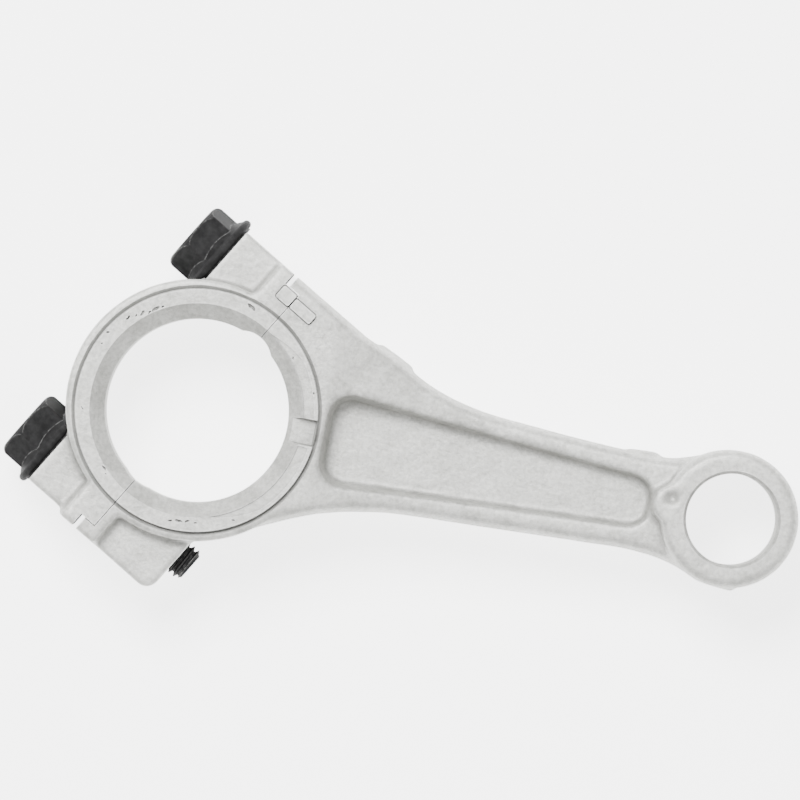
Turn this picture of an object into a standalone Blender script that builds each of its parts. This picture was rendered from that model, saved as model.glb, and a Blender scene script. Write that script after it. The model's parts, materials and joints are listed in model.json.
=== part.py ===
"""Connecting rod with an obliquely split big end: rod body, bearing cap and two flange bolts.

Rod frame, in millimetres until a mesh is made: the big-end bore's centre is the origin, +X runs to the
small end, +Z is the bore axis. The big end is split across the bolt direction, so its pieces are laid out
in split coordinates: s runs along the bolts from head to thread, t runs along the parting line.
The whole rod hangs on one empty, which sets it down on z = 0 with its bounding box centred.
"""

import math

import bmesh
import bpy
from mathutils import Matrix, Vector

MM = 0.001

# Eyes
CENTRE_DISTANCE = 89.0
HALF_WIDTH = 11.0
BIG_BORE_RADIUS = 15.0
BIG_CHAMFER_RADIUS = 17.45
BIG_CHAMFER_DEPTH = 2.4
THRUST_RADIUS = 19.95
SHOULDER_RADIUS = 21.3
SHOULDER_HALF_WIDTH = 10.4
CAP_RING_RADIUS = 20.95
CAP_RING_OFFSET = 0.45
SMALL_BORE_RADIUS = 7.5
SMALL_CHAMFER_RADIUS = 7.95
SMALL_CHAMFER_DEPTH = 0.45
SMALL_EYE_RADIUS = 11.25
SMALL_EYE_SHIFT = 0.4

# Split big end
SPLIT_ANGLE = math.radians(-30.0)
JOINT_GAP = 0.3
LIP_INNER = 25.1
LIP_REACH = 2.0
CAP_RELIEF = 2.9
EAR_HALF_HEIGHT = 7.6
LAND_HALF_HEIGHT = SHOULDER_HALF_WIDTH
LAND_START = -5.35
LAND_END = 1.65
UPPER_EAR_SIDE = 27.15
LOWER_EAR_SIDE = 27.45
LOWER_CAP_EAR_SIDE = 26.6
LOWER_EAR_END = 13.6
LOWER_EAR_CORNER = 2.0
EAR_ROOT = 12.0
SEAT = -13.1
PAD_START = -2.65
PAD_END = 4.4
PAD_INNER = 22.7
PAD_OUTER = 24.5
PAD_HEIGHT = 0.5

# Bolts
UPPER_BOLT_T = 21.1
LOWER_BOLT_T = -19.95
THREAD_RADIUS = 3.0
THREAD_TIP_RADIUS = 2.5
BOLT_LENGTH = 29.3
FLANGE_RADIUS = 7.7
FLANGE_RIM = 1.3
FLANGE_CONE = 2.2
HEX_ACROSS_FLATS = 11.0
HEAD_HEIGHT = 6.75
HEAD_CHAMFER = 1.2
HEX_TURN = math.radians(17.0)
BOLT_HOLE_RADIUS = 3.35
SPOT_FACE_RADIUS = 8.1
BLIND_HOLE_END = 17.5

# Shank
WEB_HALF_THICKNESS = 4.0
POCKET_DRAFT = 1.2
POCKET_CORNERS = ((21.3, 7.6), (75.9, 4.1), (75.9, -4.6), (21.3, -7.75))
POCKET_RADII = (3.7, 3.0, 3.0, 4.0)
SHANK_PROFILE = ((-8.0, SHOULDER_HALF_WIDTH), (20.0, SHOULDER_HALF_WIDTH), (36.0, 8.2), (50.0, 7.2),
                 (96.0, 6.8))
TOP_EDGE = ((25.0, 17.1), (30.0, 15.0), (37.0, 11.4), (45.0, 9.25), (55.0, 8.4), (65.0, 7.85),
            (75.5, 7.65), (80.5, 8.7), (86.0, 11.0))
BOTTOM_EDGE = ((86.0, -11.1), (80.5, -9.0), (74.0, -8.15), (65.0, -8.5), (50.0, -9.3), (36.0, -10.0),
               (30.0, -10.8), (25.0, -11.9), (20.0, -13.6), (12.0, -17.4))
NOSE_OUTLINE = ((76.3, 1.3), (77.2, 2.6), (79.5, 3.6), (82.0, 7.0), (86.0, 0.0), (82.0, -7.3),
                (79.0, -4.3), (77.0, -2.8), (76.2, -1.4))
NOSE_HALF_HEIGHT = 9.8
SLOT_START = 13.0
SLOT_END = 20.6
SLOT_SIDES = (-2.1, 2.3)
SLOT_DEPTH = 1.4

ROUND_SEGMENTS = 96
SMALL_SEGMENTS = 32
DEEP = 20.0
FAR = 150.0


def split_point(s, t):
    """The rod-frame point at split coordinates s, t."""
    cos, sin = math.cos(SPLIT_ANGLE), math.sin(SPLIT_ANGLE)
    return (s * cos - t * sin, s * sin + t * cos)


def split_points(*points):
    return [split_point(s, t) for s, t in points]


def smooth_line(points, steps=4):
    """Catmull-Rom curve through the points."""
    padded = [points[0], *points, points[-1]]
    line = []
    for before, start, end, after in zip(padded, padded[1:], padded[2:], padded[3:]):
        for step in range(steps):
            f = step / steps
            line.append(tuple(
                0.5 * (2 * b + (c - a) * f + (2 * a - 5 * b + 4 * c - d) * f ** 2
                       + (3 * b - a - 3 * c + d) * f ** 3)
                for a, b, c, d in zip(before, start, end, after)))
    line.append(points[-1])
    return line


def grown_corners(corners, grow):
    """Corners of a clockwise polygon whose sides are moved outward by grow."""
    moved = []
    for index, corner in enumerate(corners):
        here = Vector(corner)
        arriving = (here - Vector(corners[index - 1])).normalized()
        leaving = (Vector(corners[(index + 1) % len(corners)]) - here).normalized()
        out_before = Vector((-arriving.y, arriving.x))
        out_after = Vector((-leaving.y, leaving.x))
        bisector = (out_before + out_after).normalized()
        moved.append(here + bisector * grow / bisector.dot(out_before))
    return moved


def rounded(corners, radii, grow=0.0, steps=6):
    """A clockwise polygon with its sides moved outward by grow and its corners rounded."""
    corners = grown_corners(corners, grow)
    outline = []
    for index, (corner, radius) in enumerate(zip(corners, radii)):
        radius += grow
        to_before = (corners[index - 1] - corner).normalized()
        to_after = (corners[(index + 1) % len(corners)] - corner).normalized()
        half = to_before.angle(to_after) / 2
        centre = corner + (to_before + to_after).normalized() * radius / math.sin(half)
        start = corner + to_before * radius / math.tan(half) - centre
        end = corner + to_after * radius / math.tan(half) - centre
        sweep = math.atan2(start.cross(end), start.dot(end))
        for step in range(steps + 1):
            spoke = start.copy()
            spoke.rotate(Matrix.Rotation(sweep * step / steps, 2))
            outline.append(tuple(centre + spoke))
    return outline


def mesh_object(name, bm):
    bmesh.ops.remove_doubles(bm, verts=bm.verts, dist=0.0005)
    bmesh.ops.recalc_face_normals(bm, faces=bm.faces)
    bmesh.ops.scale(bm, vec=(MM, MM, MM), verts=bm.verts)
    mesh = bpy.data.meshes.new(name)
    bm.to_mesh(mesh)
    bm.free()
    obj = bpy.data.objects.new(name, mesh)
    bpy.context.collection.objects.link(obj)
    return obj


def prism(name, lower, upper, bottom, top):
    """A solid between two outlines with the same number of points."""
    bm = bmesh.new()
    floor = [bm.verts.new((x, y, bottom)) for x, y in lower]
    roof = [bm.verts.new((x, y, top)) for x, y in upper]
    bm.faces.new(floor)
    bm.faces.new(roof)
    for index in range(len(floor)):
        bm.faces.new((floor[index - 1], floor[index], roof[index], roof[index - 1]))
    return mesh_object(name, bm)


def plate(name, outline, half_height):
    return prism(name, outline, outline, -half_height, half_height)


def turned(name, profile, segments, centre=(0.0, 0.0)):
    """A solid of revolution about a line parallel to Z; the profile holds (radius, z) points."""
    bm = bmesh.new()
    points = [(0.0, profile[0][1]), *profile, (0.0, profile[-1][1])]
    verts = [bm.verts.new((radius, 0.0, z)) for radius, z in points]
    edges = [bm.edges.new(pair) for pair in zip(verts, verts[1:])]
    bmesh.ops.spin(bm, geom=verts + edges, axis=(0, 0, 1), cent=(0, 0, 0), angle=math.tau,
                   steps=segments, use_merge=True)
    bmesh.ops.translate(bm, verts=bm.verts, vec=(*centre, 0.0))
    return mesh_object(name, bm)


def along_bolt(t, s=0.0):
    """Placement whose local Z runs along a bolt, head to thread, with its origin at s, t."""
    x, y = split_point(s, t)
    turn = Matrix.Rotation(SPLIT_ANGLE, 4, "Z") @ Matrix.Rotation(math.pi / 2, 4, "Y")
    return Matrix.Translation((x * MM, y * MM, 0.0)) @ turn


def bolt_bore(name, t, start, end, radius):
    """A round cutter along a bolt's axis from s = start to s = end."""
    cutter = turned(name, ((radius, start), (radius, end)), SMALL_SEGMENTS)
    cutter.data.transform(along_bolt(t))
    return cutter


def combine(target, operation, *tools):
    """Applies one Boolean for each tool and removes the tool."""
    for tool in tools:
        modifier = target.modifiers.new(operation.lower(), "BOOLEAN")
        modifier.operation = operation
        modifier.solver = "MANIFOLD"
        modifier.object = tool
        bpy.context.view_layer.update()
        evaluated = target.evaluated_get(bpy.context.evaluated_depsgraph_get())
        result = bpy.data.meshes.new_from_object(evaluated)
        target.modifiers.clear()
        target.data = result
        bpy.data.objects.remove(tool)
    return target


def material(name, colour, metallic, roughness):
    made = bpy.data.materials.new(name)
    made.use_nodes = True
    shader = made.node_tree.nodes["Principled BSDF"]
    shader.inputs["Base Color"].default_value = (*colour, 1.0)
    shader.inputs["Metallic"].default_value = metallic
    shader.inputs["Roughness"].default_value = roughness
    return made


def bore_cutters():
    """Bore, its two face chamfers and the shallow reliefs at the parting line."""
    chamfer_slope = (BIG_CHAMFER_RADIUS - BIG_BORE_RADIUS) / BIG_CHAMFER_DEPTH
    over = HALF_WIDTH + 1.0
    wide = BIG_CHAMFER_RADIUS + chamfer_slope
    inner = HALF_WIDTH - BIG_CHAMFER_DEPTH
    profile = ((wide, -over), (BIG_BORE_RADIUS, -inner), (BIG_BORE_RADIUS, inner), (wide, over))
    cutters = [turned("big_bore", profile, ROUND_SEGMENTS)]
    for t, radius in ((10.8, 5.0), (-9.3, 6.0)):
        profile = ((radius, -over), (radius, over))
        cutters.append(turned("relief", profile, SMALL_SEGMENTS, split_point(0.0, t)))
    return cutters


def beyond_joint(name, face, lip_level, lip, far):
    """Everything from a stepped joint face, at s = face and s = lip_level past the lips, out to s = far."""
    outline = split_points((far, -60), (lip_level, -60), (lip_level, -lip), (face, -lip), (face, lip),
                           (lip_level, lip), (lip_level, 60), (far, 60))
    return plate(name, outline, DEEP)


def ear(name, start, end, inner, outer, half_height):
    corners = split_points((start, inner), (start, outer), (end, outer), (end, inner))
    return plate(name, corners, half_height)


def match_pad(name):
    """Raised rectangle on the upper joint land, cut in two by the parting line."""
    corners = split_points((PAD_START, PAD_INNER), (PAD_START, PAD_OUTER), (PAD_END, PAD_OUTER),
                           (PAD_END, PAD_INNER))
    top = LAND_HALF_HEIGHT + PAD_HEIGHT
    return prism(name, corners, corners, LAND_HALF_HEIGHT - 2.0, top)


def make_rod_body():
    body = turned("rod_body", ((SHOULDER_RADIUS, -SHOULDER_HALF_WIDTH),
                               (SHOULDER_RADIUS, SHOULDER_HALF_WIDTH)), ROUND_SEGMENTS)
    outline = [*split_points((-6.0, UPPER_EAR_SIDE)), *smooth_line(TOP_EDGE), (90.0, 0.0),
               *smooth_line(BOTTOM_EDGE), (0.0, -10.0), *split_points((-6.0, 10.0))]
    shank = plate("shank", outline, DEEP)
    ridge = [*SHANK_PROFILE, *((x, -z) for x, z in reversed(SHANK_PROFILE))]
    profile = plate("shank_profile", ridge, 40.0)
    profile.data.transform(Matrix.Rotation(math.pi / 2, 4, "X"))
    combine(shank, "INTERSECT", profile)
    eye = turned("small_eye", ((SMALL_EYE_RADIUS, -HALF_WIDTH), (SMALL_EYE_RADIUS, HALF_WIDTH)),
                 ROUND_SEGMENTS, (CENTRE_DISTANCE - SMALL_EYE_SHIFT, 0.0))
    nose = plate("nose", NOSE_OUTLINE, NOSE_HALF_HEIGHT)
    corners = split_points((-6.0, -LOWER_EAR_SIDE), (-6.0, -EAR_ROOT), (LOWER_EAR_END, -EAR_ROOT),
                           (LOWER_EAR_END, -LOWER_EAR_SIDE))
    lower_ear = plate("lower_ear", rounded(corners, (0.5, 0.5, 0.5, LOWER_EAR_CORNER)), EAR_HALF_HEIGHT)
    lower_land = ear("lower_land", -6.0, LAND_END, -EAR_ROOT, -LOWER_EAR_SIDE, LAND_HALF_HEIGHT)
    thrust = turned("thrust", ((THRUST_RADIUS, -HALF_WIDTH), (THRUST_RADIUS, HALF_WIDTH)), ROUND_SEGMENTS)
    combine(body, "UNION", shank, eye, nose, lower_ear, lower_land, thrust, match_pad("rod_pad"))
    cap_side = beyond_joint("cap_side", JOINT_GAP / 2, -LIP_REACH, LIP_INNER + JOINT_GAP / 2, -FAR)
    cutters = [*bore_cutters(), cap_side]
    for side in (1, -1):
        floor = rounded(POCKET_CORNERS, POCKET_RADII, -POCKET_DRAFT)
        rim = rounded(POCKET_CORNERS, POCKET_RADII, POCKET_DRAFT)
        rim_level = WEB_HALF_THICKNESS + 8.0
        cutters.append(prism("pocket", floor, rim, side * WEB_HALF_THICKNESS, side * rim_level))
        slot = [(SLOT_START, SLOT_SIDES[0]), (SLOT_END, SLOT_SIDES[0]),
                (SLOT_END, SLOT_SIDES[1]), (SLOT_START, SLOT_SIDES[1])]
        cutters.append(prism("oil_slot", slot, slot, side * (HALF_WIDTH - SLOT_DEPTH), side * DEEP))
    face = SMALL_CHAMFER_RADIUS + 1.0
    inner = HALF_WIDTH - SMALL_CHAMFER_DEPTH
    over = HALF_WIDTH + 1.0
    profile = ((face, -over), (SMALL_BORE_RADIUS, -inner), (SMALL_BORE_RADIUS, inner), (face, over))
    cutters.append(turned("small_bore", profile, ROUND_SEGMENTS, (CENTRE_DISTANCE, 0.0)))
    cutters.append(bolt_bore("upper_hole", UPPER_BOLT_T, -8.0, BLIND_HOLE_END, BOLT_HOLE_RADIUS))
    cutters.append(bolt_bore("lower_hole", LOWER_BOLT_T, -8.0, LOWER_EAR_END + 6.0, BOLT_HOLE_RADIUS))
    return combine(body, "DIFFERENCE", *cutters)


def make_bearing_cap():
    cap = turned("bearing_cap", ((CAP_RING_RADIUS, -SHOULDER_HALF_WIDTH),
                                 (CAP_RING_RADIUS, SHOULDER_HALF_WIDTH)),
                 ROUND_SEGMENTS, (-CAP_RING_OFFSET, 0.0))
    solids = [
        ear("upper_ear", SEAT, 2.0, EAR_ROOT, UPPER_EAR_SIDE, EAR_HALF_HEIGHT),
        ear("upper_land", LAND_START, 2.0, EAR_ROOT, UPPER_EAR_SIDE, LAND_HALF_HEIGHT),
        ear("lower_ear", SEAT, 2.0, -EAR_ROOT, -LOWER_CAP_EAR_SIDE, EAR_HALF_HEIGHT),
        ear("lower_land", LAND_START, 2.0, -EAR_ROOT, -LOWER_EAR_SIDE, LAND_HALF_HEIGHT),
        turned("thrust", ((THRUST_RADIUS, -HALF_WIDTH), (THRUST_RADIUS, HALF_WIDTH)), ROUND_SEGMENTS),
        match_pad("cap_pad"),
    ]
    combine(cap, "UNION", *solids)
    rod_side = beyond_joint("rod_side", -JOINT_GAP / 2, -CAP_RELIEF, LIP_INNER - JOINT_GAP / 2, FAR)
    cutters = [*bore_cutters(), rod_side]
    for t in (UPPER_BOLT_T, LOWER_BOLT_T):
        cutters.append(bolt_bore("bolt_hole", t, SEAT - 4.0, 6.0, BOLT_HOLE_RADIUS))
        cutters.append(bolt_bore("spot_face", t, SEAT - 14.0, SEAT, SPOT_FACE_RADIUS))
    return combine(cap, "DIFFERENCE", *cutters)


def make_cap_bolt(name, t):
    """Hexagon flange bolt; its origin is on its axis at the seat, local Z runs to the thread's tip."""
    seat = -JOINT_GAP
    top = -HEAD_HEIGHT + seat
    cone_radius = HEX_ACROSS_FLATS / 2 + 0.6
    bolt = turned(name, ((cone_radius, seat - FLANGE_RIM - FLANGE_CONE),
                         (FLANGE_RADIUS, seat - FLANGE_RIM), (FLANGE_RADIUS, seat),
                         (THREAD_RADIUS, seat), (THREAD_RADIUS, BOLT_LENGTH - 0.8 + seat),
                         (THREAD_TIP_RADIUS, BOLT_LENGTH + seat)), SMALL_SEGMENTS + 16)
    corner = HEX_ACROSS_FLATS / math.sqrt(3.0)
    hexagon = [(corner * math.cos(HEX_TURN + k * math.pi / 3), corner * math.sin(HEX_TURN + k * math.pi / 3))
               for k in range(6)]
    head = prism("hexagon", hexagon, hexagon, top, seat - FLANGE_RIM)
    dome = turned("dome", ((corner - HEAD_CHAMFER, top - 0.2), (corner + 0.6, top + HEAD_CHAMFER),
                           (corner + 0.6, seat)), ROUND_SEGMENTS)
    combine(head, "INTERSECT", dome)
    combine(bolt, "UNION", head)
    bolt.matrix_world = along_bolt(t, SEAT)
    return bolt


def finish(obj, surface, parent):
    mesh = obj.data
    mesh.materials.clear()
    mesh.materials.append(surface)
    mesh.shade_smooth()
    mesh.set_sharp_from_angle(angle=math.radians(30.0))
    obj.parent = parent


def rest_offset(objects):
    """How far to move the rod so that its box is centred and stands on z = 0."""
    bpy.context.view_layer.update()
    corners = [obj.matrix_world @ vertex.co for obj in objects for vertex in obj.data.vertices]
    low = Vector([min(corner[axis] for corner in corners) for axis in range(3)])
    high = Vector([max(corner[axis] for corner in corners) for axis in range(3)])
    middle = (low + high) / 2
    return Vector((-middle.x, -middle.y, -low.z))


def main():
    for obj in list(bpy.data.objects):
        bpy.data.objects.remove(obj)
    aluminium = material("cast_aluminium", (0.56, 0.55, 0.53), 1.0, 0.5)
    black_steel = material("black_oxide_steel", (0.03, 0.03, 0.032), 0.7, 0.45)
    pieces = [
        (make_rod_body(), aluminium),
        (make_bearing_cap(), aluminium),
        (make_cap_bolt("upper_cap_bolt", UPPER_BOLT_T), black_steel),
        (make_cap_bolt("lower_cap_bolt", LOWER_BOLT_T), black_steel),
    ]
    rod_frame = bpy.data.objects.new("rod_frame", None)
    bpy.context.collection.objects.link(rod_frame)
    offset = rest_offset([obj for obj, _ in pieces])
    for obj, surface in pieces:
        finish(obj, surface, rod_frame)
    rod_frame.location = offset
    print("rod_frame offset in mm:", [round(value / MM, 4) for value in offset])


main()
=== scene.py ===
"""Die-cast connecting rod lying on its side: rod body, bearing cap and two flange bolts.

The castings are made the way the real ones are. Plain solids are joined into a rough casting, its skin is
remeshed, smoothed and made slightly uneven, and then the machined faces, bores and chamfers are cut into
it. Lengths are millimetres in the rod frame: the big bore's centre is the origin, +X runs to the small
end and +Z is the bore axis. place() takes a finished piece to the CAD frame, in metres.
Split coordinates s, t run along the bolts, head to thread, and along the parting line.
"""

import json
import math

import bmesh
import bpy
import numpy as np
from mathutils import Matrix, Vector, noise


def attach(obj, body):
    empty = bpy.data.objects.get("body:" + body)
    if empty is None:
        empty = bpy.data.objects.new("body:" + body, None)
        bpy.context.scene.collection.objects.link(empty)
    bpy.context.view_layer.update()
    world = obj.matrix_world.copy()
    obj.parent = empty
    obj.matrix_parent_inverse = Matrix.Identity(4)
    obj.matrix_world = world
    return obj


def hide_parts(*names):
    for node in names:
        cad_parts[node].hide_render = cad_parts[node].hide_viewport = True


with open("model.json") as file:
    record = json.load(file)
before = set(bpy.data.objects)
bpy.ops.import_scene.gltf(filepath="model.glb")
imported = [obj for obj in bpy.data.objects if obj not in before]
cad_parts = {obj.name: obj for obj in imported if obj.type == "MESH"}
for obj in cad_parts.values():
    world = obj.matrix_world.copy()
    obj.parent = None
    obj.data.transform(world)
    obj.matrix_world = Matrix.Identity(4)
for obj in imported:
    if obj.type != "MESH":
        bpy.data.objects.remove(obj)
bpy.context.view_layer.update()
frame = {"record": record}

MM = 0.001

# Eyes
CENTRE_DISTANCE = 89.0
HALF_WIDTH = 11.0
BIG_BORE_RADIUS = 15.0
BIG_CHAMFER_RADIUS = 17.45
BIG_CHAMFER_DEPTH = 1.9
THRUST_RADIUS = 19.75
SHOULDER_RADIUS = 21.35
SHOULDER_HALF_WIDTH = 10.4
CAP_RING_RADIUS = 20.95
CAP_RING_CENTRE = (-0.5, 0.35)
SMALL_BORE_RADIUS = 7.5
SMALL_CHAMFER_RADIUS = 7.95
SMALL_CHAMFER_DEPTH = 0.45
SMALL_EYE_RADIUS = 11.25
SMALL_EYE_SHIFT = 0.4
SMALL_FACE_SHIFT = 9.7
EYE_ROUNDING = 0.9

# Split big end, in split coordinates
SPLIT_ANGLE = math.radians(-30.0)
JOINT_GAP = 0.12
RELIEFS = ((10.8, 5.0), (-9.3, 6.0))
LIP_INNER = 25.1
LIP_REACH = 2.0
CAP_RELIEF = 2.9
EAR_HALF_HEIGHT = 7.6
LAND_HALF_HEIGHT = SHOULDER_HALF_WIDTH
LAND_START = -5.35
LAND_END = 1.65
UPPER_EAR_SIDE = 27.15
LOWER_EAR_SIDE = 27.45
LOWER_CAP_EAR_SIDE = 26.6
LOWER_EAR_END = 13.6
LOWER_EAR_CORNER = 2.0
LOWER_EAR_ROUNDING = 0.5
EAR_ROOT = 12.0
ROD_OVERLAP = -6.0
CAP_OVERLAP = 6.0
SEAT = -13.1
SEAT_STOCK = 0.3
SEAT_FACE_INNER = 17.0
SEAT_FACE_OUTER = 40.0
SEAT_FACE_END = -40.0
PAD_HEIGHT = 0.55
PAD_ROOT = 2.0
PAD_CORNER = 0.3
ROD_PAD = (0.15, 4.4, 22.6, 24.4)
CAP_PAD = (-2.75, -0.1, 22.5, 24.8)
GROOVE_FLOOR = THRUST_RADIUS + 0.15
GROOVE_OUTER = 20.45
GROOVE_DEPTH = 0.38
PAD_GROOVE = 0.22
PAD_GROOVE_DEPTH = 0.35
BAND = (17.45, 19.1, 0.2)
BAND_ANGLES = ((7.5, 56.0), (-7.5, -72.0))
BAND_TAPER = 0.4
CAP_PITS = ((18.75, 138.0, 0.5), (18.4, 134.0, 0.25), (18.1, 130.5, 0.55), (17.8, 127.0, 0.35),
            (17.85, 123.5, 0.7), (17.7, 119.5, 0.3), (19.2, 150.0, 0.3), (18.9, 156.0, 0.22),
            (19.1, 73.5, 0.75), (17.7, 223.0, 0.5), (18.0, 226.5, 0.25), (18.6, 190.0, 0.25))
ROD_PITS = ((18.2, 272.5, 0.6), (18.4, 268.0, 0.35), (18.1, 276.5, 0.45), (18.3, 281.0, 0.25),
            (17.9, 40.0, 0.3), (19.3, 20.0, 0.28), (18.8, 300.0, 0.3))
PIT_SHAPE = (0.4, 1.0, 0.5)
PIT_TILT = 0.5
PIT_RISE = 0.02
PIT_RAGGEDNESS = 0.18
PIT_GRAIN = 2.3
PIT_SEED = 11
LAND_DRAFT = 0.7
LAND_ROOT = 0.6
NOSE_FOOT = 6.0
NOSE_DRAFT = 0.5

# Bolts
UPPER_BOLT_T = 21.1
LOWER_BOLT_T = -19.95
THREAD_RADIUS = 3.0
THREAD_PITCH = 1.0
THREAD_DEPTH = 0.61
THREAD_STEPS = 64
THREAD_RISE = 0.31
THREAD_CREST = 0.13
THREAD_START = 9.0
BOLT_LENGTH = 29.3
FLANGE_RADIUS = 7.7
FLANGE_RIM = 1.45
FLANGE_LIFT = 0.25
FLANGE_SEAT_RADIUS = 6.8
CONE_INSET = 1.2
CONE_HEIGHT = 1.3
HEX_CORNER_ROUNDING = 0.45
HEX_ACROSS_FLATS = 11.0
HEAD_HEIGHT = 6.75
HEAD_CHAMFER = 2.0
HEAD_FLAT_INSET = 0.7
DOME_MARGIN = 0.1
TIP_CHAMFER = (0.8, 0.7)
SHANK_UNDERSIZE = 0.05
HEX_TURN = math.radians(17.0)
SEAT_GAP = 0.05
BOLT_HOLE_RADIUS = 3.3
TAPPED_RADIUS = 3.2
BOLT_HOLE_SPAN = (SEAT - 4.0, 6.0)
SPOT_FACE_RADIUS = 8.1
SPOT_FACE_REACH = 14.0
TAPPED_START = -8.0
BLIND_HOLE_END = 17.5
THROUGH_HOLE_END = LOWER_EAR_END + 6.0

# Shank
WEB_HALF_THICKNESS = 4.0
POCKET_CORNERS = ((21.3, 7.6), (75.9, 4.1), (75.9, -4.6), (21.3, -7.75))
POCKET_RADII = (3.7, 3.8, 3.8, 4.0)
POCKET_FLOOR_INSET = 0.75
POCKET_RIM_GROWTH = 0.55
POCKET_CUT = 8.0
SHANK_LAYERS = ((0.0, 1.7), (0.25, 0.9), (0.65, 0.35), (1.2, 0.0))
SHANK_PROFILE = ((-8.0, SHOULDER_HALF_WIDTH), (20.0, SHOULDER_HALF_WIDTH), (36.0, 8.2), (50.0, 7.2),
                 (96.0, 6.8))
TOP_EDGE = ((25.0, 17.1), (30.0, 15.0), (37.0, 11.4), (45.0, 9.25), (55.0, 8.4), (65.0, 7.85),
            (75.5, 7.65), (80.5, 8.7), (86.0, 11.0))
BOTTOM_EDGE = ((86.0, -11.1), (80.5, -9.0), (74.0, -8.15), (65.0, -8.5), (50.0, -9.3), (36.0, -10.0),
               (30.0, -10.8), (25.0, -11.9), (20.0, -13.6), (12.0, -17.4))
NOSE_OUTLINE = ((75.9, 0.4), (76.3, 2.1), (78.5, 3.9), (82.0, 6.0), (86.0, 0.0), (82.0, -6.0),
                (79.0, -4.3), (78.2, -2.8), (76.3, -1.4))
NOSE_HALF_HEIGHT = 10.9
DIMPLE_PLACE = (78.7, 1.5)
DIMPLE_RADIUS = 1.2
DIMPLE_FLOOR_RADIUS = 0.5
DIMPLE_DEPTH = 0.8
FLASH_HALF_HEIGHT = 5.0
FLASH_OUTLINES = (
    ((26.4, 14.8), (27.4, 16.65), (30.4, 15.3), (33.1, 13.95), (33.5, 12.4), (30.0, 13.0)),
    ((69.8, 7.0), (70.3, 8.0), (74.6, 8.3), (75.6, 8.0), (75.8, 7.0)),
    ((88.0, -10.0), (88.4, -11.3), (91.3, -11.55), (91.9, -10.9), (91.9, -10.0)),
)
SLOT_START = 13.0
SLOT_END = 19.75
SLOT_SIDES = (-2.1, 2.3)
SLOT_DEPTH = 1.3
SLOT_DRAFT = 0.3
SLOT_RISE = 0.01

# Casting skin
VOXEL = 0.3
ROUNDING_PASSES = 18
UNEVENNESS = 0.035
WAVE_GRAIN = 0.35
RIPPLE_GRAIN = 2.7
RIPPLE_SHARE = 0.5

# Camera, floor and light, in metres, but FRAME_CENTRE and SENSOR_WIDTH are in millimetres
CAMERA_DISTANCE = 2.4
FRAME_WIDTH = 130.84 * MM
FRAME_CENTRE = (32.12, 8.29)
ROLL = math.radians(11.54)
SENSOR_WIDTH = 36.0
FLOOR_SIZE = 6.0
FLOOR_LEVEL = -0.0001
FLOOR_GLOW = 3.4
WORLD_LIGHT = 0.8
KEY_PLACE = (-0.34, 0.5, 1.12)
KEY_SIZE = 0.6
KEY_POWER = 33.0
FILL_PLACE = (0.35, -0.3, 1.2)
FILL_SIZE = 0.8
FILL_POWER = 2.0

# Meshing and materials
ROUND_SEGMENTS = 240
SMALL_SEGMENTS = 96
CAST = 0
MACHINED = 1
DEEP = 20.0
FAR = 150.0
PAST_SIDE = 60.0
OVER = 1.0
SHARP_ANGLE = math.radians(32.0)
# How far the ambient occlusion looks when it paints shade into corners and grooves
PAINTED_SHADE_REACH = 2.2 * MM


# Geometry helpers

def split_point(s, t):
    """The rod-frame point at split coordinates s, t."""
    cos, sin = math.cos(SPLIT_ANGLE), math.sin(SPLIT_ANGLE)
    return (s * cos - t * sin, s * sin + t * cos)


def split_points(*points):
    return [split_point(s, t) for s, t in points]


def smooth_line(points, steps=8):
    """Catmull-Rom curve through the points."""
    padded = [points[0], *points, points[-1]]
    line = []
    for before, start, end, after in zip(padded, padded[1:], padded[2:], padded[3:]):
        for step in range(steps):
            f = step / steps
            line.append(tuple(
                0.5 * (2 * b + (c - a) * f + (2 * a - 5 * b + 4 * c - d) * f ** 2
                       + (3 * b - a - 3 * c + d) * f ** 3)
                for a, b, c, d in zip(before, start, end, after)))
    line.append(points[-1])
    return line


def grown_corners(corners, grow):
    """Corners of a clockwise polygon whose sides are moved outward by grow."""
    moved = []
    for index, corner in enumerate(corners):
        here = Vector(corner)
        arriving = (here - Vector(corners[index - 1])).normalized()
        leaving = (Vector(corners[(index + 1) % len(corners)]) - here).normalized()
        out_before = Vector((-arriving.y, arriving.x))
        out_after = Vector((-leaving.y, leaving.x))
        bisector = (out_before + out_after).normalized()
        moved.append(here + bisector * grow / bisector.dot(out_before))
    return moved


def rounded(corners, radii, grow=0.0, steps=10):
    """A clockwise polygon with its sides moved outward by grow and its corners rounded."""
    corners = grown_corners(corners, grow)
    outline = []
    for index, (corner, radius) in enumerate(zip(corners, radii)):
        radius += grow
        to_before = (corners[index - 1] - corner).normalized()
        to_after = (corners[(index + 1) % len(corners)] - corner).normalized()
        half = to_before.angle(to_after) / 2
        centre = corner + (to_before + to_after).normalized() * radius / math.sin(half)
        start = corner + to_before * radius / math.tan(half) - centre
        end = corner + to_after * radius / math.tan(half) - centre
        sweep = math.atan2(start.cross(end), start.dot(end))
        for step in range(steps + 1):
            spoke = start.copy()
            spoke.rotate(Matrix.Rotation(sweep * step / steps, 2))
            outline.append(tuple(centre + spoke))
    return outline


def mesh_object(name, bm, finish=CAST):
    bmesh.ops.remove_doubles(bm, verts=bm.verts, dist=0.0005)
    bmesh.ops.recalc_face_normals(bm, faces=bm.faces)
    for face in bm.faces:
        face.material_index = finish
    mesh = bpy.data.meshes.new(name)
    bm.to_mesh(mesh)
    bm.free()
    obj = bpy.data.objects.new(name, mesh)
    for surface in SURFACES:
        mesh.materials.append(surface)
    bpy.context.collection.objects.link(obj)
    return obj


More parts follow.
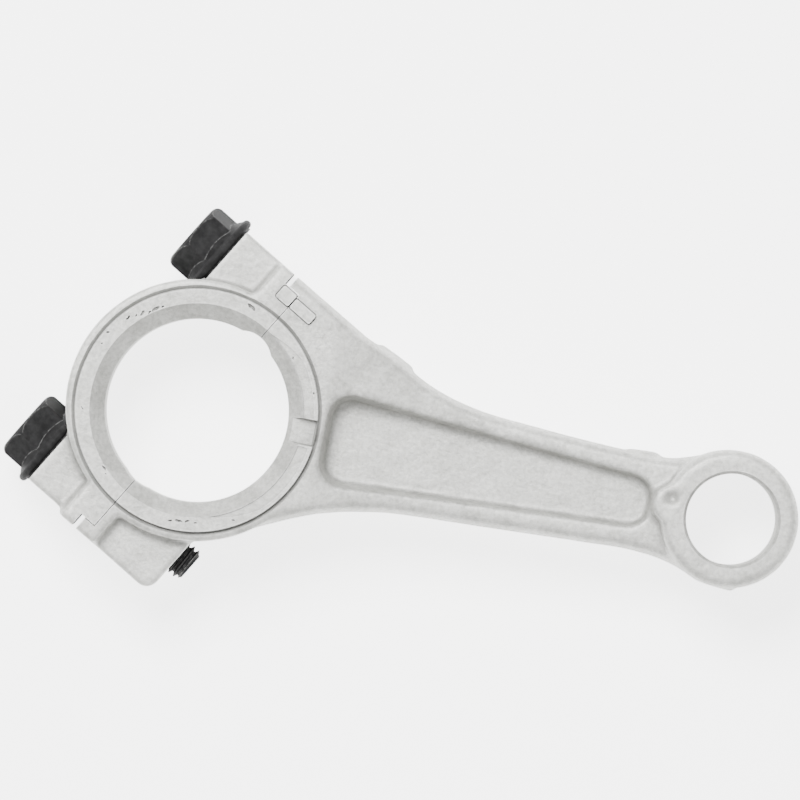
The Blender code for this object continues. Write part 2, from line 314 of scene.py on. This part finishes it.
def prism(name, lower, upper, bottom, top, finish=CAST):
    """A solid between two outlines with the same number of points."""
    bm = bmesh.new()
    floor = [bm.verts.new((x, y, bottom)) for x, y in lower]
    roof = [bm.verts.new((x, y, top)) for x, y in upper]
    bm.faces.new(floor)
    bm.faces.new(roof)
    for index in range(len(floor)):
        bm.faces.new((floor[index - 1], floor[index], roof[index], roof[index - 1]))
    return mesh_object(name, bm, finish)


def plate(name, outline, half_height, finish=CAST):
    return prism(name, outline, outline, -half_height, half_height, finish)


def turned(name, profile, segments, centre=(0.0, 0.0), finish=CAST):
    """A solid of revolution about a line parallel to Z; the profile holds (radius, z) points."""
    bm = bmesh.new()
    points = [(0.0, profile[0][1]), *profile, (0.0, profile[-1][1])]
    verts = [bm.verts.new((radius, 0.0, z)) for radius, z in points]
    edges = [bm.edges.new(pair) for pair in zip(verts, verts[1:])]
    bmesh.ops.spin(bm, geom=verts + edges, axis=(0, 0, 1), cent=(0, 0, 0), angle=math.tau,
                   steps=segments, use_merge=True)
    bmesh.ops.translate(bm, verts=bm.verts, vec=(*centre, 0.0))
    return mesh_object(name, bm, finish)


def ring(name, profile, finish=CAST):
    """A ring about the big bore's axis; the closed profile holds (radius, z) points."""
    bm = bmesh.new()
    verts = [bm.verts.new((radius, 0.0, z)) for radius, z in profile]
    edges = [bm.edges.new((verts[index - 1], verts[index])) for index in range(len(verts))]
    bmesh.ops.spin(bm, geom=verts + edges, axis=(0, 0, 1), cent=(0, 0, 0), angle=math.tau,
                   steps=ROUND_SEGMENTS, use_merge=True)
    return mesh_object(name, bm, finish)


def tapered_sector(name, inner, outer, first, last, bottom, top):
    """Part of a ring about the big bore's axis, from one angle in degrees to a point at another."""
    shares = np.linspace(0.0, 1.0, 48)
    angles = np.radians(first + (last - first) * shares)
    widths = (outer - inner) * np.minimum(1.0, (1.0 - shares) / BAND_TAPER) + 0.01
    outline = [((inner + w) * math.cos(a), (inner + w) * math.sin(a)) for a, w in zip(angles, widths)]
    outline += [(inner * math.cos(a), inner * math.sin(a)) for a in reversed(angles)]
    return prism(name, outline, outline, bottom, top)


def along_bolt(t, s=0.0):
    """Placement whose local Z runs along a bolt, head to thread, with its origin at s, t."""
    turn = Matrix.Rotation(SPLIT_ANGLE, 4, "Z") @ Matrix.Rotation(math.pi / 2, 4, "Y")
    return Matrix.Translation((*split_point(s, t), 0.0)) @ turn


def bolt_bore(name, t, profile):
    """A turned cutter on a bolt's axis; the profile holds (radius, s) points."""
    cutter = turned(name, profile, SMALL_SEGMENTS, finish=MACHINED)
    cutter.data.transform(along_bolt(t))
    return cutter


def apply_modifiers(obj):
    bpy.context.view_layer.update()
    evaluated = obj.evaluated_get(bpy.context.evaluated_depsgraph_get())
    result = bpy.data.meshes.new_from_object(evaluated)
    obj.modifiers.clear()
    obj.data = result


def combine(target, operation, *tools):
    """Applies one Boolean for each tool and removes the tool."""
    for tool in tools:
        modifier = target.modifiers.new(operation.lower(), "BOOLEAN")
        modifier.operation = operation
        modifier.solver = "MANIFOLD"
        modifier.object = tool
        apply_modifiers(target)
        bpy.data.objects.remove(tool)
    return target


def ear(name, start, end, inner, outer):
    corners = split_points((start, inner), (start, outer), (end, outer), (end, inner))
    return plate(name, corners, EAR_HALF_HEIGHT)


def land(name, start, end, inner, outer):
    """Raised joint land on both faces, with drafted ends."""
    top = split_points((start, inner), (start, outer), (end, outer), (end, inner))
    foot = split_points((start - LAND_DRAFT, inner), (start - LAND_DRAFT, outer),
                        (end + LAND_DRAFT, outer), (end + LAND_DRAFT, inner))
    return [plate(name, top, EAR_HALF_HEIGHT),
            *(prism(name, foot, top, side * (EAR_HALF_HEIGHT - LAND_ROOT), side * LAND_HALF_HEIGHT)
              for side in (1, -1))]


def cast_skin(obj, seed):
    """Turns joined solids into one rounded, slightly uneven cast skin."""
    remesh = obj.modifiers.new("skin", "REMESH")
    remesh.mode = "VOXEL"
    remesh.voxel_size = VOXEL
    remesh.adaptivity = 0.0
    smooth = obj.modifiers.new("rounding", "SMOOTH")
    smooth.factor = 0.5
    smooth.iterations = ROUNDING_PASSES
    apply_modifiers(obj)
    mesh = obj.data
    points = np.empty(3 * len(mesh.vertices))
    mesh.vertices.foreach_get("co", points)
    normals = np.empty_like(points)
    mesh.vertices.foreach_get("normal", normals)
    points = points.reshape(-1, 3)
    waves = []
    for point in points:
        spot = seed + WAVE_GRAIN * Vector(point)
        waves.append(noise.noise(spot) + RIPPLE_SHARE * noise.noise(RIPPLE_GRAIN * spot))
    points += UNEVENNESS * np.array(waves)[:, None] * normals.reshape(-1, 3)
    mesh.vertices.foreach_set("co", points.ravel())
    mesh.update()
    return obj


# Materials

def node_material(name, metallic):
    made = bpy.data.materials.new(name)
    made.use_nodes = True
    shader = made.node_tree.nodes["Principled BSDF"]
    shader.inputs["Metallic"].default_value = metallic
    return made, made.node_tree.nodes, made.node_tree.links, shader


def noise_node(nodes, links, coordinates, scale, detail=4.0, rough=0.55):
    made = nodes.new("ShaderNodeTexNoise")
    made.inputs["Scale"].default_value = scale
    made.inputs["Detail"].default_value = detail
    made.inputs["Roughness"].default_value = rough
    links.new(coordinates, made.inputs["Vector"])
    return made.outputs["Fac"]


def range_node(nodes, links, value, low, high, start=0.3, end=0.7):
    made = nodes.new("ShaderNodeMapRange")
    made.inputs["From Min"].default_value = start
    made.inputs["From Max"].default_value = end
    made.inputs["To Min"].default_value = low
    made.inputs["To Max"].default_value = high
    links.new(value, made.inputs["Value"])
    return made.outputs["Result"]


def mix_colours(nodes, links, factor, first, second):
    made = nodes.new("ShaderNodeMix")
    made.data_type = "RGBA"
    made.inputs[6].default_value = (*first, 1.0)
    made.inputs[7].default_value = (*second, 1.0)
    links.new(factor, made.inputs["Factor"])
    return made.outputs[2]


def bump_node(nodes, links, height, strength, distance, below=None):
    made = nodes.new("ShaderNodeBump")
    made.inputs["Strength"].default_value = strength
    made.inputs["Distance"].default_value = distance
    links.new(height, made.inputs["Height"])
    if below is not None:
        links.new(below, made.inputs["Normal"])
    return made.outputs["Normal"]


def edge_wear(nodes, links, radius, coordinates):
    """1 on worn edges and 0 elsewhere, broken up by noise."""
    softened = nodes.new("ShaderNodeBevel")
    softened.samples = 6
    softened.inputs["Radius"].default_value = radius
    geometry = nodes.new("ShaderNodeNewGeometry")
    likeness = nodes.new("ShaderNodeVectorMath")
    likeness.operation = "DOT_PRODUCT"
    links.new(softened.outputs["Normal"], likeness.inputs[0])
    links.new(geometry.outputs["Normal"], likeness.inputs[1])
    edge = range_node(nodes, links, likeness.outputs["Value"], 1.0, 0.0, 0.86, 0.985)
    breakup = noise_node(nodes, links, coordinates, 1500.0, 3.0, 0.7)
    product = nodes.new("ShaderNodeMath")
    product.operation = "MULTIPLY"
    links.new(edge, product.inputs[0])
    links.new(range_node(nodes, links, breakup, 0.15, 1.0, 0.4, 0.6), product.inputs[1])
    return product.outputs[0]


def mix_into(nodes, links, factor, below, above):
    """Mixes a colour socket towards a plain colour."""
    made = nodes.new("ShaderNodeMix")
    made.data_type = "RGBA"
    made.inputs[7].default_value = (*above, 1.0)
    links.new(factor, made.inputs["Factor"])
    links.new(below, made.inputs[6])
    return made.outputs[2]


def painted_shade_in_hollows(nodes, links, colour):
    """Paints shade into a colour: darker in corners and grooves where the ambient occlusion finds close
    surfaces, partly also standing for dirt and oxide kept there.
    """
    openness = nodes.new("ShaderNodeAmbientOcclusion")
    openness.samples = 8
    openness.inputs["Distance"].default_value = PAINTED_SHADE_REACH
    depth = range_node(nodes, links, openness.outputs["AO"], 0.8, 0.0, 0.25, 0.97)
    # Painted shade: the colour goes towards a dark grey where the hollow is deep
    return mix_into(nodes, links, depth, colour, (0.17, 0.17, 0.165))


def cast_aluminium():
    """Matte die-cast skin: cloudy tone, fine grain and soft pitting."""
    made, nodes, links, shader = node_material("cast_aluminium", 0.5)
    shader.inputs["Specular Tint"].default_value = (0.45, 0.45, 0.45, 1.0)
    place = nodes.new("ShaderNodeTexCoord").outputs["Object"]
    clouds = noise_node(nodes, links, place, 230.0, 5.0)
    blotch = range_node(nodes, links, clouds, 0.0, 1.0)
    tone = mix_colours(nodes, links, blotch, (0.47, 0.47, 0.446), (0.63, 0.63, 0.603))
    speckle = noise_node(nodes, links, place, 1400.0, 4.0, 0.7)
    speck = range_node(nodes, links, speckle, 0.0, 1.0, 0.35, 0.62)
    dark = mix_colours(nodes, links, speck, (0.78, 0.78, 0.775), (1.08, 1.08, 1.08))
    grained = nodes.new("ShaderNodeMix")
    grained.data_type = "RGBA"
    grained.blend_type = "MULTIPLY"
    grained.inputs["Factor"].default_value = 1.0
    links.new(tone, grained.inputs[6])
    links.new(dark, grained.inputs[7])
    worn = edge_wear(nodes, links, 0.0005, place)
    bright = mix_into(nodes, links, worn, grained.outputs[2], (0.74, 0.74, 0.725))
    # Base colour with painted shade in corners and grooves
    links.new(painted_shade_in_hollows(nodes, links, bright), shader.inputs["Base Color"])
    links.new(range_node(nodes, links, clouds, 0.46, 0.58), shader.inputs["Roughness"])
    coarse = bump_node(nodes, links, clouds, 0.3, 0.0005)
    links.new(bump_node(nodes, links, speckle, 0.35, 0.0002, coarse), shader.inputs["Normal"])
    return made


def machined_aluminium():
    """Turned and milled faces: brighter, with fine tool marks round the big bore's axis."""
    made, nodes, links, shader = node_material("machined_aluminium", 0.55)
    shader.inputs["Specular Tint"].default_value = (0.5, 0.5, 0.5, 1.0)
    place = nodes.new("ShaderNodeTexCoord").outputs["Object"]
    centred = nodes.new("ShaderNodeVectorMath")
    centred.operation = "SUBTRACT"
    centred.inputs[1].default_value = bore_centre
    links.new(place, centred.inputs[0])
    rings = nodes.new("ShaderNodeTexWave")
    rings.wave_type = "RINGS"
    rings.rings_direction = "Z"
    rings.inputs["Scale"].default_value = 900.0
    rings.inputs["Distortion"].default_value = 1.5
    rings.inputs["Detail"].default_value = 2.0
    links.new(centred.outputs[0], rings.inputs["Vector"])
    clouds = noise_node(nodes, links, place, 400.0)
    blotch = range_node(nodes, links, clouds, 0.0, 1.0)
    tone = mix_colours(nodes, links, blotch, (0.52, 0.52, 0.50), (0.64, 0.64, 0.618))
    # Base colour with painted shade in corners and grooves
    links.new(painted_shade_in_hollows(nodes, links, tone), shader.inputs["Base Color"])
    links.new(range_node(nodes, links, clouds, 0.34, 0.46), shader.inputs["Roughness"])
    worn = bump_node(nodes, links, clouds, 0.15, 0.0002)
    links.new(bump_node(nodes, links, rings.outputs["Fac"], 0.3, 0.00006, worn), shader.inputs["Normal"])
    return made


def black_oxide():
    """Blackened steel: nearly black, with a satin sheen and a faint brown-grey cloudiness."""
    made, nodes, links, shader = node_material("black_oxide_steel", 0.0)
    place = nodes.new("ShaderNodeTexCoord").outputs["Object"]
    clouds = noise_node(nodes, links, place, 700.0)
    blotch = range_node(nodes, links, clouds, 0.0, 1.0)
    tone = mix_colours(nodes, links, blotch, (0.012, 0.012, 0.0122), (0.026, 0.026, 0.0263))
    worn = edge_wear(nodes, links, 0.0004, place)
    links.new(mix_into(nodes, links, worn, tone, (0.18, 0.18, 0.177)), shader.inputs["Base Color"])
    links.new(range_node(nodes, links, clouds, 0.4, 0.55), shader.inputs["Roughness"])
    shader.inputs["Specular IOR Level"].default_value = 0.02
    grain = noise_node(nodes, links, place, 4000.0, 2.0, 0.6)
    links.new(bump_node(nodes, links, grain, 0.25, 0.00005), shader.inputs["Normal"])
    return made


# Castings

def bore_cutters():
    """Bore, its two face chamfers and the shallow reliefs at the parting line."""
    chamfer_slope = (BIG_CHAMFER_RADIUS - BIG_BORE_RADIUS) / BIG_CHAMFER_DEPTH
    over = HALF_WIDTH + OVER
    wide = BIG_CHAMFER_RADIUS + OVER * chamfer_slope
    inner = HALF_WIDTH - BIG_CHAMFER_DEPTH
    profile = ((wide, -over), (BIG_BORE_RADIUS, -inner), (BIG_BORE_RADIUS, inner), (wide, over))
    cutters = [turned("big_bore", profile, ROUND_SEGMENTS, finish=MACHINED)]
    for t, radius in RELIEFS:
        profile = ((radius, -over), (radius, over))
        cutters.append(turned("relief", profile, SMALL_SEGMENTS, split_point(0.0, t), MACHINED))
    return cutters


def beyond_joint(name, face, lip_level, lip, far):
    """Everything from a stepped joint face, at s = face and s = lip_level past the lips, out to s = far."""
    outline = split_points((far, -PAST_SIDE), (lip_level, -PAST_SIDE), (lip_level, -lip), (face, -lip),
                           (face, lip), (lip_level, lip), (lip_level, PAST_SIDE), (far, PAST_SIDE))
    return plate(name, outline, DEEP, MACHINED)


def add_match_pad(target, start, end, inner, outer):
    """Half of the raised rectangle that crosses the upper joint, in a fine groove of its own."""
    corners = split_points((start, inner), (start, outer), (end, outer), (end, inner))
    radii = (PAD_CORNER,) * 4
    around = rounded(corners, radii, PAD_GROOVE, steps=4)
    outline = rounded(corners, radii, steps=4)
    groove = prism("pad_groove", around, around, LAND_HALF_HEIGHT - PAD_GROOVE_DEPTH, DEEP)
    combine(target, "DIFFERENCE", groove)
    top = LAND_HALF_HEIGHT + PAD_HEIGHT
    combine(target, "UNION", prism("pad", outline, outline, LAND_HALF_HEIGHT - PAD_ROOT, top))


def ring_grooves():
    """A fine groove at the foot of the thrust ring on both faces, sloping up on its outer side."""
    foot = SHOULDER_HALF_WIDTH - GROOVE_DEPTH
    return [ring("groove", ((THRUST_RADIUS, side * foot), (GROOVE_FLOOR, side * foot),
                            (GROOVE_OUTER, side * SHOULDER_HALF_WIDTH), (GROOVE_OUTER, side * DEEP),
                            (THRUST_RADIUS, side * DEEP)), MACHINED)
            for side in (1, -1)]


def thrust_ring():
    profile = ((THRUST_RADIUS, -HALF_WIDTH), (THRUST_RADIUS, HALF_WIDTH))
    return turned("thrust", profile, ROUND_SEGMENTS, finish=MACHINED)


def pits(places):
    """One cutter of small irregular hollows; each place holds (radius, angle in degrees, size)."""
    bm = bmesh.new()
    for index, (radius, angle, size) in enumerate(places):
        turn = math.radians(angle)
        for side in (1, -1):
            spot = (radius * math.cos(turn), radius * math.sin(turn), side * (HALF_WIDTH + PIT_RISE))
            across, along, deep = PIT_SHAPE
            stretch = Matrix.Diagonal((size * across, size * along, deep, 1.0))
            tilt = turn + PIT_TILT * math.sin(7.0 * index)
            shape = Matrix.Translation(spot) @ Matrix.Rotation(tilt, 4, "Z")
            bmesh.ops.create_icosphere(bm, subdivisions=3, radius=1.0, matrix=shape @ stretch)
    noise.seed_set(PIT_SEED)
    for vert in bm.verts:
        vert.co += PIT_RAGGEDNESS * noise.noise_vector(PIT_GRAIN * vert.co)
    return mesh_object("pits", bm)


def rough_bands():
    """Shallow bands left as cast on the rod's half of the thrust ring, from the oil slot outwards."""
    inner, outer, depth = BAND
    return [tapered_sector("band", inner, outer, first, last, side * (HALF_WIDTH - depth), side * DEEP)
            for side in (1, -1) for first, last in BAND_ANGLES]


def flashes():
    """Stubs of trimmed flash and of the gate, standing a little proud of the edges."""
    return [plate("flash", outline, FLASH_HALF_HEIGHT) for outline in FLASH_OUTLINES]


def shank_layers():
    """The shank as a stack of layers that step in towards its faces; smoothing rounds them off."""
    outline = [*split_points((-6.0, UPPER_EAR_SIDE)), *smooth_line(TOP_EDGE), (90.0, 0.0),
               *smooth_line(BOTTOM_EDGE), (0.0, -10.0), *split_points((-6.0, 10.0))]
    layers = []
    for inset, drop in SHANK_LAYERS:
        layer = plate("shank", [tuple(corner) for corner in grown_corners(outline, -inset)], DEEP)
        ridge = [*((x, z - drop) for x, z in SHANK_PROFILE),
                 *((x, drop - z) for x, z in reversed(SHANK_PROFILE))]
        profile = plate("shank_profile", ridge, 40.0)
        profile.data.transform(Matrix.Rotation(math.pi / 2, 4, "X"))
        layers.append(combine(layer, "INTERSECT", profile))
    return layers


def rough_rod():
    rough = turned("rod_body_casting", ((SHOULDER_RADIUS, -SHOULDER_HALF_WIDTH),
                                        (SHOULDER_RADIUS, SHOULDER_HALF_WIDTH)), ROUND_SEGMENTS)
    brim = SMALL_EYE_RADIUS - EYE_ROUNDING
    side = HALF_WIDTH - EYE_ROUNDING
    eye = turned("small_eye", ((brim, -HALF_WIDTH), (SMALL_EYE_RADIUS, -side), (SMALL_EYE_RADIUS, side),
                               (brim, HALF_WIDTH)),
                 ROUND_SEGMENTS, (CENTRE_DISTANCE - SMALL_EYE_SHIFT, 0.0))
    nose_foot = [tuple(corner) for corner in grown_corners(NOSE_OUTLINE, NOSE_DRAFT)]
    nose = [prism("nose", nose_foot, NOSE_OUTLINE, side * NOSE_FOOT, side * NOSE_HALF_HEIGHT)
            for side in (1, -1)]
    corners = split_points((ROD_OVERLAP, -LOWER_EAR_SIDE), (ROD_OVERLAP, -EAR_ROOT),
                           (LOWER_EAR_END, -EAR_ROOT), (LOWER_EAR_END, -LOWER_EAR_SIDE))
    radii = (*(LOWER_EAR_ROUNDING,) * 3, LOWER_EAR_CORNER)
    lower_ear = plate("lower_ear", rounded(corners, radii), EAR_HALF_HEIGHT)
    lower_land = land("lower_land", ROD_OVERLAP, LAND_END, -LOWER_EAR_SIDE, -EAR_ROOT)
    combine(rough, "UNION", *shank_layers(), eye, lower_ear, *lower_land, *flashes())
    floor = rounded(POCKET_CORNERS, POCKET_RADII, -POCKET_FLOOR_INSET)
    rim = rounded(POCKET_CORNERS, POCKET_RADII, POCKET_RIM_GROWTH)
    rim_level = WEB_HALF_THICKNESS + POCKET_CUT
    for side in (1, -1):
        pocket = prism("pocket", floor, rim, side * WEB_HALF_THICKNESS, side * rim_level)
        combine(rough, "DIFFERENCE", pocket)
    dimples = [turned("dimple", ((DIMPLE_FLOOR_RADIUS, side * (NOSE_HALF_HEIGHT - DIMPLE_DEPTH)),
                                 (DIMPLE_RADIUS, side * NOSE_HALF_HEIGHT),
                                 (DIMPLE_RADIUS, side * DEEP)), SMALL_SEGMENTS, DIMPLE_PLACE)
               for side in (1, -1)]
    combine(rough, "UNION", *nose)
    return combine(rough, "DIFFERENCE", *dimples)


def make_rod_body():
    body = cast_skin(rough_rod(), Vector((3.0, 7.0, 1.0)))
    combine(body, "UNION", thrust_ring())
    add_match_pad(body, *ROD_PAD)
    cap_side = beyond_joint("cap_side", JOINT_GAP / 2, -LIP_REACH, LIP_INNER + JOINT_GAP / 2, -FAR)
    cutters = [*bore_cutters(), cap_side, *ring_grooves(), *rough_bands(), pits(ROD_PITS)]
    slot_floor, slot_rim = [[(SLOT_START, SLOT_SIDES[0] - grow), (SLOT_END + grow, SLOT_SIDES[0] - grow),
                             (SLOT_END + grow, SLOT_SIDES[1] + grow), (SLOT_START, SLOT_SIDES[1] + grow)]
                            for grow in (-SLOT_DRAFT, 0.0)]
    for side in (1, -1):
        bottom, top = side * (HALF_WIDTH - SLOT_DEPTH), side * HALF_WIDTH
        cutters.append(prism("oil_slot", slot_floor, slot_rim, bottom, top + side * SLOT_RISE, MACHINED))
    face = SMALL_CHAMFER_RADIUS + OVER
    inner = HALF_WIDTH - SMALL_CHAMFER_DEPTH
    over = HALF_WIDTH + OVER
    profile = ((face, -over), (SMALL_BORE_RADIUS, -inner), (SMALL_BORE_RADIUS, inner), (face, over))
    cutters.append(turned("small_bore", profile, ROUND_SEGMENTS, (CENTRE_DISTANCE, 0.0), MACHINED))
    for name, t, end in (("upper_hole", UPPER_BOLT_T, BLIND_HOLE_END),
                         ("lower_hole", LOWER_BOLT_T, THROUGH_HOLE_END)):
        cutters.append(bolt_bore(name, t, ((TAPPED_RADIUS, TAPPED_START), (TAPPED_RADIUS, end))))
    return combine(body, "DIFFERENCE", *cutters)


def rough_cap():
    rough = turned("bearing_cap_casting", ((CAP_RING_RADIUS, -SHOULDER_HALF_WIDTH),
                                           (CAP_RING_RADIUS, SHOULDER_HALF_WIDTH)),
                   ROUND_SEGMENTS, CAP_RING_CENTRE)
    solids = [
        ear("upper_ear", SEAT - SEAT_STOCK, CAP_OVERLAP, EAR_ROOT, UPPER_EAR_SIDE),
        *land("upper_land", LAND_START, CAP_OVERLAP, EAR_ROOT, UPPER_EAR_SIDE),
        ear("lower_ear", SEAT - SEAT_STOCK, CAP_OVERLAP, -LOWER_CAP_EAR_SIDE, -EAR_ROOT),
        *land("lower_land", LAND_START, CAP_OVERLAP, -LOWER_EAR_SIDE, -EAR_ROOT),
    ]
    return combine(rough, "UNION", *solids)


def make_bearing_cap():
    cap = cast_skin(rough_cap(), Vector((-5.0, 2.0, 9.0)))
    combine(cap, "UNION", thrust_ring())
    add_match_pad(cap, *CAP_PAD)
    rod_side = beyond_joint("rod_side", -JOINT_GAP / 2, -CAP_RELIEF, LIP_INNER - JOINT_GAP / 2, FAR)
    cutters = [*bore_cutters(), rod_side, *ring_grooves(), pits(CAP_PITS)]
    for side in (1, -1):
        inner, outer = side * SEAT_FACE_INNER, side * SEAT_FACE_OUTER
        corners = split_points((SEAT_FACE_END, inner), (SEAT_FACE_END, outer), (SEAT, outer), (SEAT, inner))
        cutters.append(plate("seat_face", corners, DEEP, MACHINED))
    for t in (UPPER_BOLT_T, LOWER_BOLT_T):
        hole = [(BOLT_HOLE_RADIUS, s) for s in BOLT_HOLE_SPAN]
        spot = ((SPOT_FACE_RADIUS, SEAT - SPOT_FACE_REACH), (SPOT_FACE_RADIUS, SEAT))
        cutters += [bolt_bore("bolt_hole", t, hole), bolt_bore("spot_face", t, spot)]
    return combine(cap, "DIFFERENCE", *cutters)


# Bolts

def threaded_shank():
    """A closed rod with a helical thread, longer than the bolt at both ends."""
    root = THREAD_RADIUS - THREAD_DEPTH
    profile = ((0.0, root), (THREAD_RISE, THREAD_RADIUS), (THREAD_RISE + THREAD_CREST, THREAD_RADIUS),
               (2 * THREAD_RISE + THREAD_CREST, root))
    per_turn = THREAD_STEPS
    turns = int(BOLT_LENGTH - THREAD_START) + 4
    start = THREAD_START - 1.0
    bm = bmesh.new()
    columns = []
    for step in range(turns * per_turn + 1):
        angle = math.tau * step / per_turn
        lift = start + THREAD_PITCH * step / per_turn
        columns.append([bm.verts.new((radius * math.cos(angle), radius * math.sin(angle),
                                      lift + along * THREAD_PITCH)) for along, radius in profile])
    for step in range(turns * per_turn):
        here, there = columns[step], columns[step + 1]
        for low in range(3):
            bm.faces.new((here[low], there[low], there[low + 1], here[low + 1]))
        if step + per_turn <= turns * per_turn - 1:
            above, beyond = columns[step + per_turn], columns[step + per_turn + 1]
            bm.faces.new((here[3], there[3], beyond[0], above[0]))
    foot = bm.verts.new((0.0, 0.0, start - 2.0))
    tip = bm.verts.new((0.0, 0.0, start + turns * THREAD_PITCH + 2.0))
    first = [columns[step][0] for step in range(per_turn + 1)]
    first += [columns[0][3], columns[0][2], columns[0][1]]
    last_step = turns * per_turn
    last = [columns[step][3] for step in range(last_step - per_turn, last_step + 1)]
    last += [columns[last_step][2], columns[last_step][1], columns[last_step][0]]
    for rim, apex in ((first, foot), (last, tip)):
        for index in range(len(rim)):
            bm.faces.new((rim[index - 1], rim[index], apex))
    return mesh_object("thread", bm)


def make_cap_bolt(name, t):
    """Hexagon flange bolt with its seat at local z = 0 and its thread towards +z."""
    corner = HEX_ACROSS_FLATS / math.sqrt(3.0)
    spokes = [HEX_TURN - k * math.pi / 3 for k in range(6)]
    hexagon = rounded([(corner * math.cos(a), corner * math.sin(a)) for a in spokes],
                      (HEX_CORNER_ROUNDING,) * 6, steps=4)
    head = prism(name, hexagon, hexagon, -HEAD_HEIGHT, -0.5 * FLANGE_RIM)
    flat = HEX_ACROSS_FLATS / 2 - HEAD_FLAT_INSET
    reach = corner + DOME_MARGIN - flat
    dome_arc = [(flat + reach * math.sin(a), -HEAD_HEIGHT + HEAD_CHAMFER * (1.0 - math.cos(a)))
                for a in np.linspace(0.0, math.pi / 2, 10)]
    dome = turned("dome", (*dome_arc, (corner + DOME_MARGIN, 0.0)), ROUND_SEGMENTS)
    combine(head, "INTERSECT", dome)
    rim = FLANGE_RIM / 2
    arc = [(FLANGE_RADIUS - rim + rim * math.cos(a), -FLANGE_LIFT - rim + rim * math.sin(a))
           for a in np.linspace(-math.pi / 2, math.pi / 2, 9)]
    cone_top = (corner - CONE_INSET, -FLANGE_LIFT - FLANGE_RIM - CONE_HEIGHT)
    flange = turned("flange", (cone_top, *arc, (FLANGE_SEAT_RADIUS, -FLANGE_LIFT),
                               (FLANGE_SEAT_RADIUS, 0.0)), ROUND_SEGMENTS)
    tip_drop, tip_length = TIP_CHAMFER
    envelope = turned("envelope", ((THREAD_RADIUS, THREAD_START), (THREAD_RADIUS, BOLT_LENGTH - tip_length),
                                   (THREAD_RADIUS - tip_drop, BOLT_LENGTH)), SMALL_SEGMENTS)
    thread = combine(threaded_shank(), "INTERSECT", envelope)
    shank_radius = THREAD_RADIUS - SHANK_UNDERSIZE
    plain = turned("plain_shank", ((shank_radius, -1.0), (shank_radius, THREAD_START + 0.4),
                                   (THREAD_RADIUS - THREAD_DEPTH, THREAD_START + 1.0)), SMALL_SEGMENTS)
    bolt = combine(head, "UNION", flange, plain, thread)
    bolt.data.transform(along_bolt(t, SEAT - SEAT_GAP))
    return bolt


# Placing, floor, light and camera

def place(obj, body, surfaces):
    """Takes a piece to the CAD frame, gives it its finish and lets it stand for its CAD node."""
    obj.data.transform(Matrix.Translation(bore_centre) @ Matrix.Scale(MM, 4))
    obj.data.materials.clear()
    for surface in surfaces:
        obj.data.materials.append(surface)
    obj.data.shade_smooth()
    obj.data.set_sharp_from_angle(angle=SHARP_ANGLE)
    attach(obj, body)
    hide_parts(body)


def make_floor():
    """A pale floor lit evenly from within, like a light table."""
    bpy.ops.mesh.primitive_plane_add(size=FLOOR_SIZE, location=(0.0, 0.0, FLOOR_LEVEL))
    floor = bpy.context.object
    floor.name = "studio_floor"
    surface, nodes, links, shader = node_material("studio_floor", 0.0)
    shader.inputs["Base Color"].default_value = (0.9, 0.9, 0.9, 1.0)
    shader.inputs["Roughness"].default_value = 0.9
    shader.inputs["Emission Color"].default_value = (1.0, 1.0, 1.0, 1.0)
    shader.inputs["Emission Strength"].default_value = FLOOR_GLOW
    floor.data.materials.append(surface)


def area_light(name, location, size, power):
    data = bpy.data.lights.new(name, "AREA")
    data.shape = "DISK"
    data.size = size
    data.energy = power
    lamp = bpy.data.objects.new(name, data)
    lamp.location = location
    lamp.rotation_euler = (-Vector(location)).to_track_quat("-Z", "Y").to_euler()
    bpy.context.collection.objects.link(lamp)


def make_lights():
    world = bpy.data.worlds.new("studio")
    world.use_nodes = True
    bpy.context.scene.world = world
    world.node_tree.nodes["Background"].inputs["Color"].default_value = (1.0, 1.0, 1.0, 1.0)
    world.node_tree.nodes["Background"].inputs["Strength"].default_value = WORLD_LIGHT
    area_light("key", KEY_PLACE, KEY_SIZE, KEY_POWER)
    area_light("fill", FILL_PLACE, FILL_SIZE, FILL_POWER)


def make_camera():
    """Looks down the bores; the rod's +X points down to the right in the picture."""
    data = bpy.data.cameras.new("camera")
    data.sensor_width = SENSOR_WIDTH
    data.lens = data.sensor_width * CAMERA_DISTANCE / FRAME_WIDTH
    data.clip_start = 0.1
    data.clip_end = 20.0
    camera = bpy.data.objects.new("camera", data)
    target = bore_centre + Vector((*FRAME_CENTRE, 0.0)) * MM
    right = Vector((math.cos(ROLL), math.sin(ROLL), 0.0))
    up = Vector((-math.sin(ROLL), math.cos(ROLL), 0.0))
    back = Vector((0.0, 0.0, 1.0))
    turn = Matrix((right, up, back)).transposed().to_4x4()
    camera.matrix_world = Matrix.Translation(target + back * CAMERA_DISTANCE) @ turn
    bpy.context.collection.objects.link(camera)
    bpy.context.scene.camera = camera


small_face = next(mount for mount in frame["record"]["mounts"] if mount["name"] == "small_end_face_top")
bore_centre = Vector(small_face["pos_m"]) - Vector((CENTRE_DISTANCE, SMALL_FACE_SHIFT, HALF_WIDTH)) * MM

aluminium = cast_aluminium()
machined = machined_aluminium()
oxide = black_oxide()
SURFACES = (aluminium, machined)

make_camera()
place(make_rod_body(), "rod_body", SURFACES)
place(make_bearing_cap(), "bearing_cap", SURFACES)
for bolt_name, bolt_t in (("upper_cap_bolt", UPPER_BOLT_T), ("lower_cap_bolt", LOWER_BOLT_T)):
    place(make_cap_bolt(bolt_name + "_forged", bolt_t), bolt_name, (oxide,))
make_floor()
make_lights()
